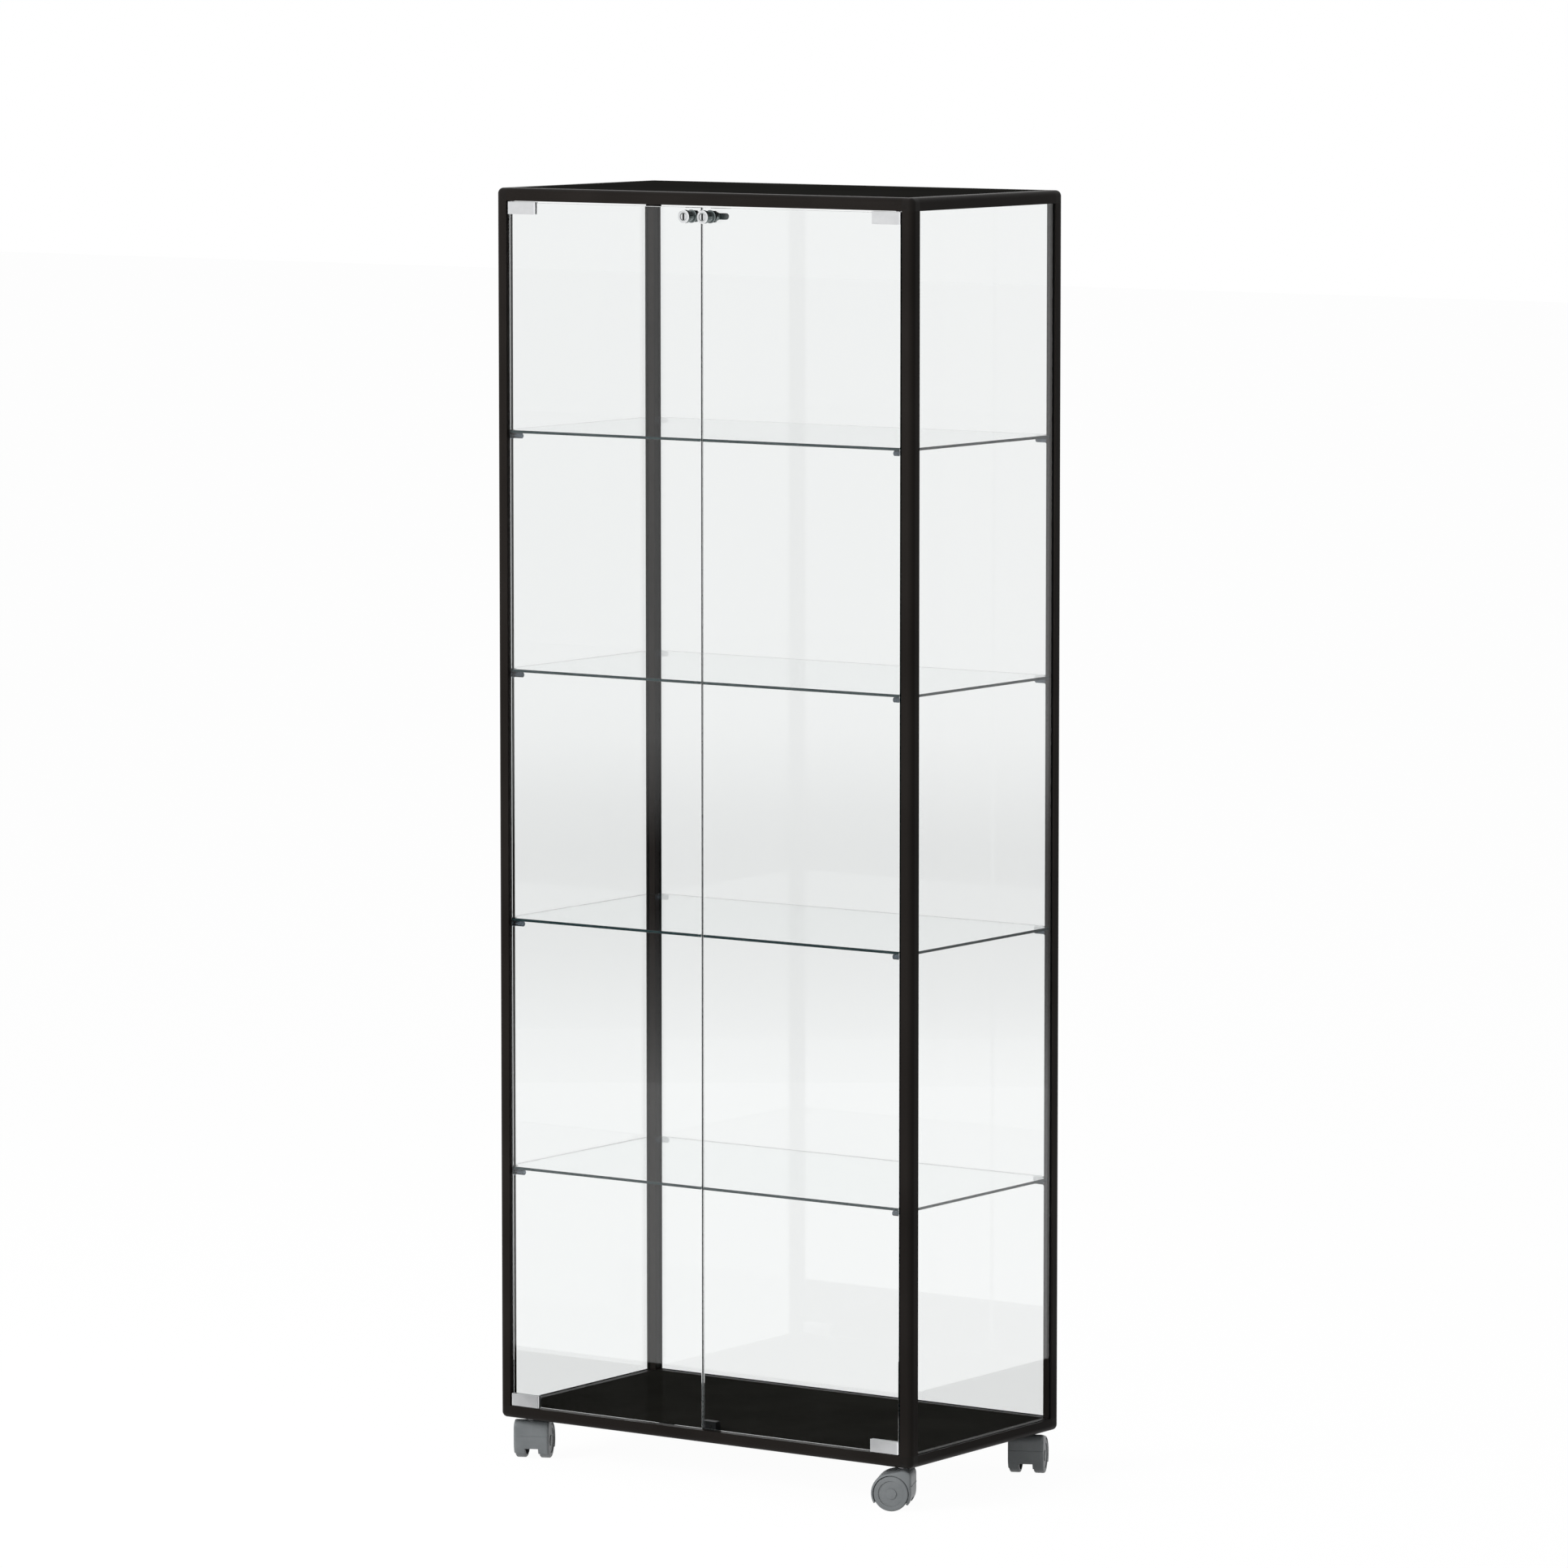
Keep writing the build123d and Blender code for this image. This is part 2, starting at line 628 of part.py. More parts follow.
for name in corners:
    frame = castor_frame(name)
    save(frame * make_hood(), f"castor_hood_{name}")
    save(frame * make_axle(), f"castor_axle_{name}")
    save(frame * make_wheel(-1), f"castor_wheel_a_{name}")
    save(frame * make_wheel(1), f"castor_wheel_b_{name}")
save(group([castor_frame(name) * make_stem() for name in corners]), "castor_stems")
save(group([castor_frame(name) * make_insert() for name in corners]), "insert_nuts")
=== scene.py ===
import bpy
import bmesh
import json
import math
from mathutils import Matrix, Vector


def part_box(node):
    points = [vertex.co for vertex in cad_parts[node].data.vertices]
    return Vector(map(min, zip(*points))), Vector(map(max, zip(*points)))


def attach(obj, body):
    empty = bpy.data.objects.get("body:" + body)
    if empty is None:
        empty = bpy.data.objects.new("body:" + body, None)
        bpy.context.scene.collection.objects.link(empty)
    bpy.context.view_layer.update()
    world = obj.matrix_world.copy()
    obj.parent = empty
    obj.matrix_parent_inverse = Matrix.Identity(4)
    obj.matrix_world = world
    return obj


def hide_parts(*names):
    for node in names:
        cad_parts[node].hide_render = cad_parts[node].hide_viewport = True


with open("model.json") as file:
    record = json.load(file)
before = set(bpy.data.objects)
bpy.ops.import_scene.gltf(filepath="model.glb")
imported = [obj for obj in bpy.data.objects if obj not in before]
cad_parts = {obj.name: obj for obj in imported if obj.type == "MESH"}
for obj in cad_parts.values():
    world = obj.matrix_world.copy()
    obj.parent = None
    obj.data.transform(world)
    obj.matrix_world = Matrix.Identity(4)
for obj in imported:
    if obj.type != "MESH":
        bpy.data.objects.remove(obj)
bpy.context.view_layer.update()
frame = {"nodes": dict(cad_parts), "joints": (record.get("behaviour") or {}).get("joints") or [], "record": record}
nodes = frame["nodes"]
joints = {joint["name"]: joint for joint in frame["joints"]}
slot_of = {part["node"]: part["material_slot"] for part in frame["record"]["subparts"]}


# Shader helpers

noise_low = 0.3
noise_high = 0.7


def new_material(name):
    """Empty material with a principled shader as its surface."""
    material = bpy.data.materials.new(name)
    material.use_nodes = True
    tree = material.node_tree
    tree.nodes.clear()
    output = tree.nodes.new("ShaderNodeOutputMaterial")
    shader = tree.nodes.new("ShaderNodeBsdfPrincipled")
    tree.links.new(shader.outputs["BSDF"], output.inputs["Surface"])
    return material, tree, shader


def set_values(shader, **values):
    """Sets plain values on the shader's own sockets."""
    for name, value in values.items():
        shader.inputs[name.replace("_", " ")].default_value = value


def object_coordinates(tree, scale=(1, 1, 1)):
    """Object coordinates, stretched to run a grain along a piece."""
    place = tree.nodes.new("ShaderNodeTexCoord")
    mapping = tree.nodes.new("ShaderNodeMapping")
    mapping.inputs["Scale"].default_value = scale
    tree.links.new(place.outputs["Object"], mapping.inputs["Vector"])
    return mapping.outputs["Vector"]


def noise(tree, vector, scale, detail=3, roughness=0.5):
    texture = tree.nodes.new("ShaderNodeTexNoise")
    texture.inputs["Scale"].default_value = scale
    texture.inputs["Detail"].default_value = detail
    texture.inputs["Roughness"].default_value = roughness
    tree.links.new(vector, texture.inputs["Vector"])
    return texture.outputs["Fac"]


def spread(tree, value, low, high):
    """Takes a noise value from its usual range into the given one."""
    remap = tree.nodes.new("ShaderNodeMapRange")
    remap.inputs["From Min"].default_value = noise_low
    remap.inputs["From Max"].default_value = noise_high
    remap.inputs["To Min"].default_value = low
    remap.inputs["To Max"].default_value = high
    tree.links.new(value, remap.inputs["Value"])
    return remap.outputs["Result"]


def shade_between(tree, value, dark, light):
    """Colour that wanders between a dark and a light shade."""
    mix = tree.nodes.new("ShaderNodeMix")
    mix.data_type = "RGBA"
    mix.inputs["A"].default_value = (*dark, 1)
    mix.inputs["B"].default_value = (*light, 1)
    tree.links.new(spread(tree, value, low=0, high=1), mix.inputs["Factor"])
    return mix.outputs["Result"]


def raise_surface(tree, shader, value, strength, distance):
    """Fine relief, with its height in metres."""
    bump = tree.nodes.new("ShaderNodeBump")
    bump.inputs["Strength"].default_value = strength
    bump.inputs["Distance"].default_value = distance
    tree.links.new(value, bump.inputs["Height"])
    tree.links.new(bump.outputs["Normal"], shader.inputs["Normal"])


# Materials

def anodised_black(name, grain):
    """Satin black anodised extrusion, with faint die lines along the bar."""
    material, tree, shader = new_material(name)
    set_values(shader, Metallic=0.0, Specular_IOR_Level=0.04, Coat_Weight=0.008, Coat_Roughness=0.3)
    fine = noise(tree, object_coordinates(tree), scale=900, detail=4)
    cloud = noise(tree, object_coordinates(tree), scale=6)
    lines = noise(tree, object_coordinates(tree, grain), scale=1, detail=2)
    dark, light = (0.0105, 0.0088, 0.0078), (0.0165, 0.0142, 0.0128)
    tree.links.new(shade_between(tree, cloud, dark, light), shader.inputs["Base Color"])
    tree.links.new(spread(tree, fine, low=0.33, high=0.41), shader.inputs["Roughness"])
    raise_surface(tree, shader, lines, strength=0.12, distance=0.00005)
    return material


def moulded(name, dark, light, roughness, shine=0.45):
    """Moulded plastic with a fine spark grain and slow shade changes."""
    material, tree, shader = new_material(name)
    set_values(shader, Metallic=0.0, Specular_IOR_Level=shine)
    grain = noise(tree, object_coordinates(tree), scale=1400)
    cloud = noise(tree, object_coordinates(tree), scale=35, detail=4)
    tree.links.new(shade_between(tree, cloud, dark, light), shader.inputs["Base Color"])
    worn = spread(tree, grain, low=roughness - 0.05, high=roughness + 0.06)
    tree.links.new(worn, shader.inputs["Roughness"])
    raise_surface(tree, shader, grain, strength=0.25, distance=0.00004)
    return material


def gloss_board(name):
    """Gloss black laminate with a faint orange peel."""
    material, tree, shader = new_material(name)
    set_values(shader, Metallic=0.0, Specular_IOR_Level=0.0, Coat_Weight=0.008, Coat_Roughness=0.06)
    peel = noise(tree, object_coordinates(tree), scale=160, detail=2)
    dust = noise(tree, object_coordinates(tree), scale=9, detail=5)
    dark, light = (0.011, 0.0108, 0.0092), (0.0165, 0.0162, 0.0138)
    tree.links.new(shade_between(tree, dust, dark, light), shader.inputs["Base Color"])
    tree.links.new(spread(tree, dust, low=0.1, high=0.17), shader.inputs["Roughness"])
    raise_surface(tree, shader, peel, strength=0.06, distance=0.0001)
    return material


def plated(name, dark, light, roughness, grain=(1, 1, 1)):
    """Metal plate or satin metal, with a grain that is stretched along the piece."""
    material, tree, shader = new_material(name)
    set_values(shader, Metallic=1.0, Specular_IOR_Level=0.5)
    brushed = noise(tree, object_coordinates(tree, grain), scale=700, detail=4)
    cloud = noise(tree, object_coordinates(tree), scale=60)
    tree.links.new(shade_between(tree, cloud, dark, light), shader.inputs["Base Color"])
    worn = spread(tree, brushed, low=roughness - 0.05, high=roughness + 0.08)
    tree.links.new(worn, shader.inputs["Roughness"])
    raise_surface(tree, shader, brushed, strength=0.08, distance=0.00003)
    return material


def float_glass(name, density, tint):
    """Clear float glass whose green shows where the light runs along the pane."""
    material, tree, shader = new_material(name)
    set_values(shader, Transmission_Weight=1.0, IOR=1.5, Base_Color=(1, 1, 1, 1), Specular_IOR_Level=0.5)
    wave = noise(tree, object_coordinates(tree), scale=2.2, detail=2)
    tree.links.new(spread(tree, wave, low=0.0, high=0.004), shader.inputs["Roughness"])
    absorb = tree.nodes.new("ShaderNodeVolumeAbsorption")
    absorb.inputs["Color"].default_value = (*tint, 1)
    absorb.inputs["Density"].default_value = density
    output = tree.nodes["Material Output"]
    tree.links.new(absorb.outputs["Volume"], output.inputs["Volume"])
    return material


def ground_edge(name, dark, light, roughness, clear=0.0):
    """Ground and polished glass edge, where the pane is dark along its length."""
    material, tree, shader = new_material(name)
    set_values(shader, Metallic=0.0, Specular_IOR_Level=0.2, Transmission_Weight=clear)
    ground = noise(tree, object_coordinates(tree), scale=420)
    tree.links.new(shade_between(tree, ground, dark, light), shader.inputs["Base Color"])
    worn = spread(tree, ground, low=roughness - 0.06, high=roughness + 0.08)
    tree.links.new(worn, shader.inputs["Roughness"])
    return material


along_x_grain = (3, 500, 500)
along_y_grain = (500, 3, 500)
along_z_grain = (500, 500, 3)
black_upright = anodised_black("black_anodised_upright", along_z_grain)
black_crosswise = anodised_black("black_anodised_crosswise", along_x_grain)
black_inwards = anodised_black("black_anodised_inwards", along_y_grain)

pane_tint = (0.5, 0.6, 0.58)
shelf_tint = (0.4, 0.6, 0.58)
pane_density = 18.0
shelf_density = 9.0

finishes = {
    "black_corner": moulded("black_corner_moulding", (0.009, 0.0078, 0.007), (0.014, 0.012, 0.011),
                            roughness=0.42, shine=0.08),
    "black_panel": gloss_board("gloss_black_board"),
    "clear_glass": float_glass("clear_float_glass", pane_density, pane_tint),
    "shelf_glass": float_glass("shelf_float_glass", shelf_density, shelf_tint),
    "door_glass": float_glass("door_float_glass", pane_density, pane_tint),
    "black_seal": moulded("glazing_gasket_rubber", (0.006, 0.006, 0.006), (0.011, 0.011, 0.011),
                          roughness=0.65, shine=0.08),
    "clear_pin": plated("slate_support_sleeve", (0.07, 0.09, 0.11), (0.16, 0.19, 0.22), roughness=0.25),
    "satin_hinge": plated("satin_silver_hinge", (0.86, 0.87, 0.88), (0.94, 0.95, 0.96),
                          roughness=0.34, grain=(6, 1, 1)),
    "lock_metal": plated("nickel_lock_case", (0.16, 0.19, 0.19), (0.26, 0.29, 0.29), roughness=0.3),
    "lock_plug": plated("bright_nickel_plug", (0.9, 0.91, 0.92), (0.96, 0.97, 0.98), roughness=0.22),
    "bush_plastic": moulded("black_nylon_bush", (0.01, 0.01, 0.01), (0.02, 0.02, 0.02), roughness=0.45),
    "stop_plastic": moulded("dark_grey_stop", (0.008, 0.009, 0.009), (0.014, 0.015, 0.016),
                            roughness=0.42, shine=0.12),
    "bumper_rubber": moulded("black_bumper_rubber", (0.006, 0.006, 0.006), (0.012, 0.012, 0.012),
                             roughness=0.7),
    "grey_castor": moulded("grey_castor_nylon", (0.165, 0.178, 0.184), (0.208, 0.222, 0.229),
                           roughness=0.4),
    "grey_wheel": moulded("grey_wheel_tread", (0.172, 0.184, 0.19), (0.218, 0.231, 0.238),
                          roughness=0.46),
    "steel": plated("zinc_plated_steel", (0.46, 0.46, 0.47), (0.58, 0.58, 0.6), roughness=0.3),
}


def frame_finish(node):
    """Finish whose die lines run along the bar."""
    if node.endswith("_post"):
        return black_upright
    if node.startswith(("front_", "rear_")):
        return black_crosswise
    return black_inwards


dark_edge = ground_edge("dark_green_edge", (0.004, 0.016, 0.018), (0.01, 0.03, 0.032), roughness=0.25)
pale_edge = ground_edge("pale_split_edge", (0.3, 0.34, 0.34), (0.42, 0.46, 0.46), roughness=0.3, clear=0.8)
across_x, across_y, across_z = range(3)
pane_facing = {"left_side_glass": across_x, "right_side_glass": across_x, "rear_glass": across_y}
split_reach = 0.02
half_turned = 0.5


def edge_the_glass(piece, axis):
    """Gives the faces round a pane's rim their own edge finish, paler where the doors meet."""
    piece.data.materials.append(dark_edge)
    piece.data.materials.append(pale_edge)
    for face in piece.data.polygons:
        if abs(face.normal[axis]) < half_turned:
            near_split = axis == across_y and abs(face.center.x) < split_reach
            face.material_index = 2 if near_split and abs(face.normal.x) > half_turned else 1


for node, piece in nodes.items():
    slot = slot_of[node]
    piece.data.materials.clear()
    piece.data.materials.append(frame_finish(node) if slot == "black_frame" else finishes[slot])
    if slot in ("clear_glass", "shelf_glass", "door_glass"):
        piece.visible_shadow = False
        piece.visible_diffuse = False
        upright = pane_facing.get(node, across_y)
        edge_the_glass(piece, across_z if slot == "shelf_glass" else upright)


# Pieces that the solids leave plain

def mesh_piece(name, bm, finish, body, closed=True):
    """Makes a shaded piece from a bmesh, in its place, riding on a body."""
    if closed:
        bmesh.ops.recalc_face_normals(bm, faces=bm.faces)
    mesh = bpy.data.meshes.new(name)
    bm.to_mesh(mesh)
    bm.free()
    return finished_piece(name, mesh, finish, body)


def finished_piece(name, mesh, finish, body):
    """Links a mesh as a smooth shaded piece that rides on a body."""
    for face in mesh.polygons:
        face.use_smooth = True
    mesh.materials.clear()
    mesh.materials.append(finish)
    piece = bpy.data.objects.new(name, mesh)
    bpy.context.scene.collection.objects.link(piece)
    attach(piece, body)
    return piece


def split_sharp(piece, degrees):
    """Keeps true edges sharp under smooth shading."""
    modifier = piece.modifiers.new("edges", "EDGE_SPLIT")
    modifier.split_angle = math.radians(degrees)


def arc_points(centre, radius, start, end, count):
    """Points along an arc, with its angles in degrees."""
    angles = [math.radians(start + (end - start) * k / (count - 1)) for k in range(count)]
    return [(centre[0] + radius * math.cos(a), centre[1] + radius * math.sin(a)) for a in angles]


def points_between(start, end, count):
    """Points that divide a straight run evenly, without its ends."""
    shares = [k / count for k in range(1, count)]
    return [(start[0] + (end[0] - start[0]) * t, start[1] + (end[1] - start[1]) * t) for t in shares]


wheel_radius = 0.025
swivel_trail = 0.015
wheel_gap = 0.020
hood_radius = 0.0285
hood_wall = 0.0015
hood_edge_angle = 45
hood_half_width = 0.0256
hood_top = 0.0583
hood_shoulder = 0.0042
shoulder_drop = 0.0028
shoulder_steps = 6
nose_rounding = 0.0105
tail_end = -30
tail_top = 78
nose_end = 214
tail_points = 24
nose_points = 10
foot_points = 9
top_runs = 12
front_runs = 5
notch_top = 0.015
seam_height = 0.0352
seam_raise = 0.0005
seam_half = 0.0008
rim_radius = 0.0255
boss_radius = 0.0094
boss_bottom = 0.0315
boss_sides = 48
web_radius = 0.011
web_start = -150
web_end = 30
web_points = 16
web_shoulder = 0.7
web_step = 0.6
core_edge_angle = 35
same_place = 1e-6
castor_corners = ("front_left", "front_right", "rear_left", "rear_right")


def hood_profile(inset):
    """Side view of a castor's hood, from the foot of its tail over the wheels to the foot of its nose."""
    centre = (swivel_trail, wheel_radius)
    radius = hood_radius - inset
    reach = swivel_trail - radius
    top = hood_top - inset
    tail = arc_points(centre, radius, tail_end, tail_top, tail_points)
    nose = arc_points((reach + nose_rounding, top - nose_rounding), nose_rounding, 90, 180, nose_points)
    seam = [(reach, seam_height + seam_half), (reach - seam_raise, seam_height + seam_half / 2),
            (reach - seam_raise, seam_height - seam_half / 2), (reach, seam_height - seam_half)]
    foot = arc_points(centre, radius, 180, nose_end, foot_points)
    return [*tail, *points_between(tail[-1], nose[0], top_runs),
            *nose, *points_between(nose[-1], seam[0], front_runs),
            *seam, *points_between(seam[-1], foot[0], front_runs), *foot]


def hood_stations():
    """Places across the hood, each with how far its shoulder has fallen there."""
    outer = []
    for k in range(shoulder_steps + 1):
        share = k / shoulder_steps
        fallen = shoulder_drop * (1 - math.sqrt(1 - share * share))
        outer.append((hood_half_width - hood_shoulder * (1 - share), fallen))
    middle = [(-wheel_gap / 2, 0), (wheel_gap / 2, 0)]
    return [(-x, drop) for x, drop in reversed(outer)] + middle + outer


def castor_place(corner):
    """Where a castor's swivel axis stands, with X along its axle."""
    x, y, _ = joints[f"{corner}_swivel_turn"]["pos_m"]
    axle = joints[f"{corner}_wheel_a_roll"]["axis"]
    turn = math.atan2(axle[1], axle[0])
    return Matrix.Translation((x, y, 0)) @ Matrix.Rotation(turn, 4, "Z")


def toward_wheel(place):
    """Point just clear of the wheel's edge, on the way from a point of the hood to the axle."""
    centre = Vector((place.x, swivel_trail, wheel_radius))
    return centre + (place - centre).normalized() * rim_radius


def add_castor_hood(corner):
    """Moulded hood that wraps both wheels, with a notch between them at the nose and tail."""
    stations = hood_stations()
    bm = bmesh.new()
    rows = [[bm.verts.new((x, y, z)) for y, z in hood_profile(drop)] for x, drop in stations]
    rims = [[bm.verts.new(toward_wheel(vertex.co)) for vertex in row] for row in (rows[0], rows[-1])]
    stations = [stations[0], *stations, stations[-1]]
    rows = [rims[0], *rows, rims[1]]
    for (x, _), row, following in zip(stations, rows, rows[1:]):
        between_wheels = abs(x + wheel_gap / 2) < same_place
        for k in range(len(row) - 1):
            in_notch = between_wheels and min(row[k].co.z, row[k + 1].co.z) < notch_top
            if not in_notch:
                bm.faces.new((row[k], row[k + 1], following[k + 1], following[k]))
    bmesh.ops.transform(bm, matrix=castor_place(corner), verts=bm.verts)
    hood = mesh_piece(f"castor_cover_{corner}", bm, finishes["grey_castor"],
                      f"{corner}_swivel", closed=False)
    wall = hood.modifiers.new("wall", "SOLIDIFY")
    wall.thickness = hood_wall
    wall.offset = -1
    split_sharp(hood, hood_edge_angle)
    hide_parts(f"castor_hood_{corner}")


def add_castor_core(corner):
    """Boss for the stem and web for the axle, between the wheels."""
    bm = bmesh.new()
    height = hood_top - hood_wall - boss_bottom
    bmesh.ops.create_cone(bm, cap_ends=True, segments=boss_sides, radius1=boss_radius, radius2=boss_radius,
                          depth=height, matrix=Matrix.Translation((0, 0, boss_bottom + height / 2)))
    foot = arc_points((swivel_trail, wheel_radius), web_radius, web_start, web_end, web_points)
    shoulder = (foot[-1][0], boss_bottom + height * web_shoulder)
    outline = [*foot, shoulder, (-boss_radius * web_step, boss_bottom)]
    sides = [[bm.verts.new((x, y, z)) for y, z in outline] for x in (-boss_radius, boss_radius)]
    for side in sides:
        bm.faces.new(side)
    for k in range(len(outline)):
        j = (k + 1) % len(outline)
        bm.faces.new((sides[0][k], sides[0][j], sides[1][j], sides[1][k]))
    bmesh.ops.transform(bm, matrix=castor_place(corner), verts=bm.verts)
    core = mesh_piece(f"castor_core_{corner}", bm, finishes["grey_castor"],
                      f"{corner}_swivel")
    split_sharp(core, core_edge_angle)


keyway_width = 0.003
keyway_height = 0.0092
keyway_proud = 0.0003
keyway_depth = 0.0007
case_front_depth = 0.0006
plug_length = 0.012


def dress_lock(side):
    """Bright front faces on a dull case, and a black block in the key slot that paints the shade in its mouth."""
    case, plug = nodes[f"{side}_lock_body"], nodes[f"{side}_lock_cam"]
    case_low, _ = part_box(f"{side}_lock_body")
    case.data.materials.append(finishes["lock_plug"])
    for face in case.data.polygons:
        if face.center.y < case_low[1] + case_front_depth:
            face.material_index = 1
    plug_low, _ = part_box(f"{side}_lock_cam")
    plug.data.materials.append(finishes["lock_metal"])
    for face in plug.data.polygons:
        if face.center.y > plug_low[1] + plug_length:
            face.material_index = 1
    # The black block below sits in the mouth of the key slot as painted shade, where the recess falls dark.
    axis_x, _, axis_z = joints[f"{side}_lock_turn"]["pos_m"]
    bm = bmesh.new()
    bmesh.ops.create_cube(bm, size=1.0)
    size = Matrix.Diagonal((keyway_width, keyway_depth, keyway_height, 1))
    place = Matrix.Translation((axis_x, plug_low[1] - keyway_proud + keyway_depth / 2, axis_z))
    bmesh.ops.transform(bm, matrix=place @ size, verts=bm.verts)
    bmesh.ops.bevel(bm, geom=bm.edges[:], offset=keyway_proud / 2, segments=2, affect="EDGES")
    mesh_piece(f"{side}_key_slot_painted_shade", bm, finishes["bumper_rubber"], f"{side}_lock")


def new_node(tree, kind, **values):
    """Adds a node and sets or links its inputs by name."""
    made = tree.nodes.new(kind)
    for name, value in values.items():
        socket = made.inputs[name.replace("_", " ")]
        if isinstance(value, bpy.types.NodeSocket):
            tree.links.new(value, socket)
        else:
            socket.default_value = value
    return made


socket_sides = 6
screw_head_sides = 40


def clamp_screw_tree():
    """Socket screws at the corners of an upright rectangle, with their heads towards +Y."""
    tree = bpy.data.node_groups.new("clamp_screws", "GeometryNodeTree")
    tree.interface.new_socket("Geometry", in_out="OUTPUT", socket_type="NodeSocketGeometry")
    for name in ("Spacing", "Rise", "Head Radius", "Head Depth", "Socket Radius"):
        tree.interface.new_socket(name, in_out="INPUT", socket_type="NodeSocketFloat")
    tree.interface.new_socket("Finish", in_out="INPUT", socket_type="NodeSocketMaterial")
    given = tree.nodes.new("NodeGroupInput").outputs
    grid = new_node(tree, "GeometryNodeMeshGrid", Size_X=given["Spacing"], Size_Y=given["Rise"],
                    Vertices_X=2, Vertices_Y=2)
    upright = new_node(tree, "GeometryNodeTransform", Geometry=grid.outputs["Mesh"],
                       Rotation=(math.pi / 2, 0, 0))
    head = new_node(tree, "GeometryNodeMeshCylinder", Vertices=screw_head_sides,
                    Radius=given["Head Radius"], Depth=given["Head Depth"])
    hexagon = new_node(tree, "GeometryNodeMeshCylinder", Vertices=socket_sides,
                       Radius=given["Socket Radius"], Depth=given["Head Depth"])
    half = tree.nodes.new("ShaderNodeMath")
    half.operation = "MULTIPLY"
    tree.links.new(given["Head Depth"], half.inputs[0])
    half.inputs[1].default_value = 0.5
    lift = new_node(tree, "ShaderNodeCombineXYZ", Z=half.outputs["Value"])
    raised = new_node(tree, "GeometryNodeTransform", Geometry=hexagon.outputs["Mesh"],
                      Translation=lift.outputs["Vector"])
    cut = tree.nodes.new("GeometryNodeMeshBoolean")
    cut.operation = "DIFFERENCE"
    tree.links.new(head.outputs["Mesh"], cut.inputs["Mesh 1"])
    tree.links.new(raised.outputs["Geometry"], cut.inputs["Mesh 2"])
    tipped = new_node(tree, "GeometryNodeTransform", Geometry=cut.outputs["Mesh"],
                      Rotation=(-math.pi / 2, 0, 0))
    spread_out = new_node(tree, "GeometryNodeInstanceOnPoints", Points=upright.outputs["Geometry"],
                          Instance=tipped.outputs["Geometry"])
    real = new_node(tree, "GeometryNodeRealizeInstances", Geometry=spread_out.outputs["Instances"])
    dressed = new_node(tree, "GeometryNodeSetMaterial", Geometry=real.outputs["Geometry"],
                       Material=given["Finish"])
    result = tree.nodes.new("NodeGroupOutput")
    tree.links.new(dressed.outputs["Geometry"], result.inputs["Geometry"])
    return tree


def grown_mesh(tree, name, values):
    """Plain mesh made by a Geometry Nodes tree with the given inputs."""
    carrier = bpy.data.objects.new(name, bpy.data.meshes.new(name))
    bpy.context.scene.collection.objects.link(carrier)
    modifier = carrier.modifiers.new("nodes", "NODES")
    modifier.node_group = tree
    for item in tree.interface.items_tree:
        if item.in_out == "INPUT":
            modifier[item.identifier] = values[item.name]
    graph = bpy.context.evaluated_depsgraph_get()
    mesh = bpy.data.meshes.new_from_object(carrier.evaluated_get(graph), depsgraph=graph)
    carrier.modifiers.remove(modifier)
    bpy.data.objects.remove(carrier)
    return mesh


screw_below_edge = 0.0081
screw_head_radius = 0.0023
screw_head_depth = 0.0005
screw_socket_radius = 0.0012
screws_per_clip = 2
screw_edge_angle = 35


def add_clamp_screws(side, tree):
    """Clamp screws on the inside of a door's upper and lower hinge clips."""
    low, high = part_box(f"{side}_hinge_bottom")
    top_low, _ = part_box(f"{side}_hinge_top")
    screw_z = (high[2] - screw_below_edge, top_low[2] + screw_below_edge)
    values = {"Spacing": (high[0] - low[0]) / (screws_per_clip + 1), "Rise": screw_z[1] - screw_z[0],
              "Head Radius": screw_head_radius, "Head Depth": screw_head_depth,
              "Socket Radius": screw_socket_radius, "Finish": finishes["steel"]}
    mesh = grown_mesh(tree, f"{side}_clamp_screws", values)
    middle = ((low[0] + high[0]) / 2, high[1] - screw_head_depth / 2, sum(screw_z) / 2)
    mesh.transform(Matrix.Translation(middle))
    screws = finished_piece(f"{side}_clamp_screws", mesh, finishes["steel"], f"{side}_door")
    split_sharp(screws, screw_edge_angle)


for corner in castor_corners:
    add_castor_hood(corner)
    add_castor_core(corner)
screw_tree = clamp_screw_tree()
for side in ("left", "right"):
    dress_lock(side)
    add_clamp_screws(side, screw_tree)


# Studio

floor_reach = 30.0
floor_colour = (0.93, 0.93, 0.93, 1)
floor_roughness = 0.9
floor_shine = 0.05
floor_glow = 1.02
floor_whiteness = 0.95
white = (1, 1, 1, 1)
seen_strength = 1.0
fill_strength = 0.3
lamp_aim = (0, 0, 0.9)


def flat_sheet(name, corners):
    """One flat face that belongs to the studio."""
    mesh = bpy.data.meshes.new(name)
    mesh.from_pydata(corners, [], [tuple(range(len(corners)))])
    sheet = bpy.data.objects.new(name, mesh)
    bpy.context.scene.collection.objects.link(sheet)
    return sheet


def seen_directly(tree):
    """1 for rays that look at a surface straight, in a mirror or through glass."""
    rays = tree.nodes.new("ShaderNodeLightPath")
    total = rays.outputs["Is Camera Ray"]
    for kind in ("Is Glossy Ray", "Is Transmission Ray"):
        add = tree.nodes.new("ShaderNodeMath")
        add.operation = "MAXIMUM"
        tree.links.new(total, add.inputs[0])
        tree.links.new(rays.outputs[kind], add.inputs[1])
        total = add.outputs["Value"]
    return total


def scaled(tree, value, factor):
    """A value times a number."""
    times = tree.nodes.new("ShaderNodeMath")
    times.operation = "MULTIPLY"
    times.inputs[1].default_value = factor
    tree.links.new(value, times.inputs[0])
    return times.outputs["Value"]


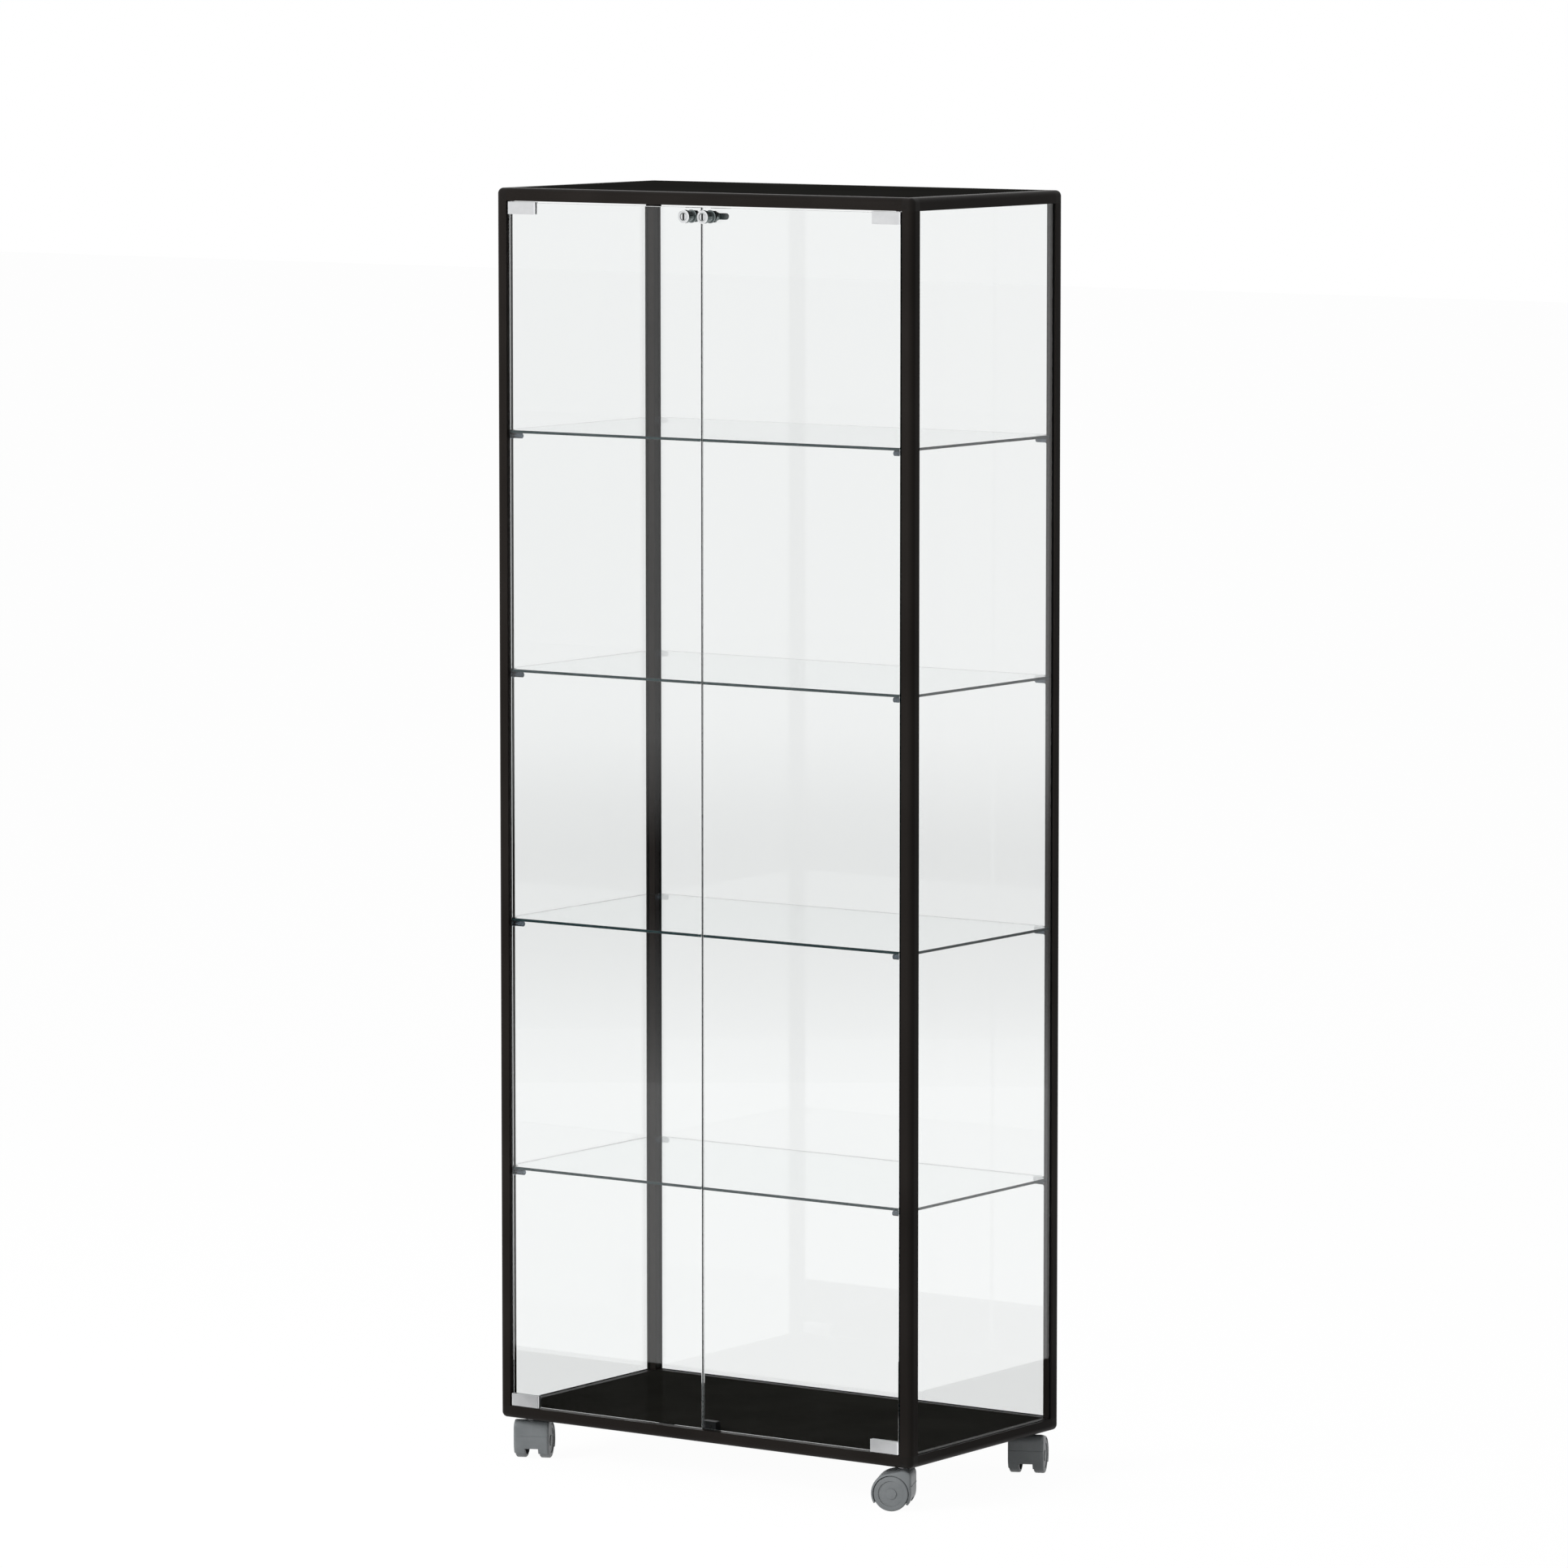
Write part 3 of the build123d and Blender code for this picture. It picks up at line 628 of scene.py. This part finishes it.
def floor_finish():
    """Pale floor that shows nearly plain white and still keeps a soft shadow."""
    material = bpy.data.materials.new("pale_floor")
    material.use_nodes = True
    tree = material.node_tree
    shader = tree.nodes["Principled BSDF"]
    set_values(shader, Base_Color=floor_colour, Roughness=floor_roughness, Specular_IOR_Level=floor_shine)
    glow = new_node(tree, "ShaderNodeEmission", Color=white, Strength=floor_glow)
    mix = tree.nodes.new("ShaderNodeMixShader")
    tree.links.new(scaled(tree, seen_directly(tree), floor_whiteness), mix.inputs["Fac"])
    tree.links.new(shader.outputs["BSDF"], mix.inputs[1])
    tree.links.new(glow.outputs["Emission"], mix.inputs[2])
    tree.links.new(mix.outputs["Shader"], tree.nodes["Material Output"].inputs["Surface"])
    return material


def white_world():
    """White behind the object, and soft grey light on it."""
    world = bpy.data.worlds.new("studio")
    bpy.context.scene.world = world
    world.use_nodes = True
    tree = world.node_tree
    tree.nodes.clear()
    output = tree.nodes.new("ShaderNodeOutputWorld")
    seen = new_node(tree, "ShaderNodeBackground", Color=white, Strength=seen_strength)
    fill = new_node(tree, "ShaderNodeBackground", Color=white, Strength=fill_strength)
    mix = tree.nodes.new("ShaderNodeMixShader")
    tree.links.new(seen_directly(tree), mix.inputs["Fac"])
    tree.links.new(fill.outputs["Background"], mix.inputs[1])
    tree.links.new(seen.outputs["Background"], mix.inputs[2])
    tree.links.new(mix.outputs["Shader"], output.inputs["Surface"])


def softbox(name, place, width, height, power):
    """Large soft lamp, aimed at the cabinet's middle and seen in no reflection."""
    light = bpy.data.lights.new(name, "AREA")
    light.shape = "RECTANGLE"
    light.size = width
    light.size_y = height
    light.energy = power
    lamp = bpy.data.objects.new(name, light)
    bpy.context.scene.collection.objects.link(lamp)
    lamp.location = place
    lamp.visible_glossy = False
    lamp.visible_transmission = False
    lamp.rotation_euler = (Vector(lamp_aim) - Vector(place)).to_track_quat("-Z", "Y").to_euler()


def painted_reflection_card(name, middle, facing, width, height, stops):
    """Upright glowing card that is no lamp and shows only in reflections, painting a graded reflection into the
    glass and metal; graded from its foot by (share of height, brightness).
    """
    across = Vector((-facing[1], facing[0], 0)).normalized() * (width / 2)
    foot = Vector((*middle, 0))
    up = Vector((0, 0, height))
    card = flat_sheet(name, [foot - across, foot + across, foot + across + up, foot - across + up])
    material = bpy.data.materials.new(name)
    material.use_nodes = True
    tree = material.node_tree
    tree.nodes.clear()
    place = tree.nodes.new("ShaderNodeTexCoord")
    split = tree.nodes.new("ShaderNodeSeparateXYZ")
    tree.links.new(place.outputs["Object"], split.inputs["Vector"])
    ramp = tree.nodes.new("ShaderNodeValToRGB")
    tree.links.new(scaled(tree, split.outputs["Z"], 1 / height), ramp.inputs["Fac"])
    ramp.color_ramp.elements.remove(ramp.color_ramp.elements[0])
    for k, (share, brightness) in enumerate(stops):
        stop = ramp.color_ramp.elements[0] if k == 0 else ramp.color_ramp.elements.new(share)
        stop.position = share
        stop.color = (brightness, brightness, brightness, 1)
    glow = tree.nodes.new("ShaderNodeEmission")
    tree.links.new(ramp.outputs["Color"], glow.inputs["Color"])
    # Glows only for rays that were already reflected, so it is a painted reflection; all other rays pass through
    # it.
    rays = tree.nodes.new("ShaderNodeLightPath")
    reflected = tree.nodes.new("ShaderNodeMath")
    reflected.operation = "MINIMUM"
    reflected.inputs[1].default_value = 1.0
    tree.links.new(rays.outputs["Glossy Depth"], reflected.inputs[0])
    clear = tree.nodes.new("ShaderNodeBsdfTransparent")
    mix = tree.nodes.new("ShaderNodeMixShader")
    tree.links.new(reflected.outputs["Value"], mix.inputs["Fac"])
    tree.links.new(clear.outputs["BSDF"], mix.inputs[1])
    tree.links.new(glow.outputs["Emission"], mix.inputs[2])
    output = tree.nodes.new("ShaderNodeOutputMaterial")
    tree.links.new(mix.outputs["Shader"], output.inputs["Surface"])
    card.data.materials.append(material)
    card.visible_camera = False
    card.visible_diffuse = False
    card.visible_shadow = False


sensor_width = 36.0
lens_length = 191.62
furthest_seen = 100.0
camera_place = (6.7496, -9.6281, 2.2447)
looking_down = 6.133
looking_left = 34.993


def add_camera():
    """Stands where the photograph was taken from."""
    camera = bpy.data.cameras.new("camera")
    camera.sensor_width = sensor_width
    camera.lens = lens_length
    camera.clip_end = furthest_seen
    viewer = bpy.data.objects.new("camera", camera)
    bpy.context.scene.collection.objects.link(viewer)
    viewer.location = camera_place
    viewer.rotation_euler = (math.radians(90 - looking_down), 0, math.radians(looking_left))
    bpy.context.scene.camera = viewer


floor = flat_sheet("floor", [(-floor_reach, -floor_reach, 0), (floor_reach, -floor_reach, 0),
                             (floor_reach, floor_reach, 0), (-floor_reach, floor_reach, 0)])
floor.data.materials.append(floor_finish())
white_world()
softbox("key", (-1.8, -4.2, 2.4), width=2.4, height=2.6, power=215)
softbox("side", (4.2, 0.6, 2.6), width=1.6, height=2.6, power=9)
softbox("top", (0.2, 0.4, 4.6), width=2.6, height=2.0, power=8)

# Glowing cards seen only in reflections: painted reflections that grade the panes and metal with a dark band low
# down, and a low dark card that paints a dark reflection at the panes' foot.
wall_distance = 4.0
wall_width = 3.4
wall_height = 3.0
low_distance = 0.32
low_height = 0.11
left_painted_reflection = [(0.0, 0.85), (0.04, 0.45), (0.11, 0.03), (0.15, 0.03), (0.185, 0.4), (0.22, 0.72), (1.0, 0.8)]
right_painted_reflection = [(0.0, 0.9), (0.05, 0.5), (0.11, 0.3), (0.15, 0.3), (0.185, 0.6), (0.22, 0.8), (1.0, 0.85)]
low_painted_dark_reflection = [(0.0, 0.01), (1.0, 0.01)]
# Each side has the way its painted reflections look, the pane they come from, that pane's facing, and a width.
mirrored = [("left", (-0.574, -0.819), (0.0, -0.19), (0, 1), 0.72, left_painted_reflection),
            ("right", (0.574, 0.819), (0.35, 0.0), (1, 0), 0.4, right_painted_reflection)]
for side, look, pane, facing, low_width, wall in mirrored:
    far = tuple(start + wall_distance * step for start, step in zip(pane, look))
    near = tuple(start + low_distance * step for start, step in zip(pane, look))
    painted_reflection_card(f"painted_reflection_wall_{side}", far, look, wall_width, wall_height, wall)
    painted_reflection_card(f"low_painted_dark_reflection_{side}", near, facing, low_width, low_height, low_painted_dark_reflection)
add_camera()
bpy.context.scene.view_settings.view_transform = "Standard"
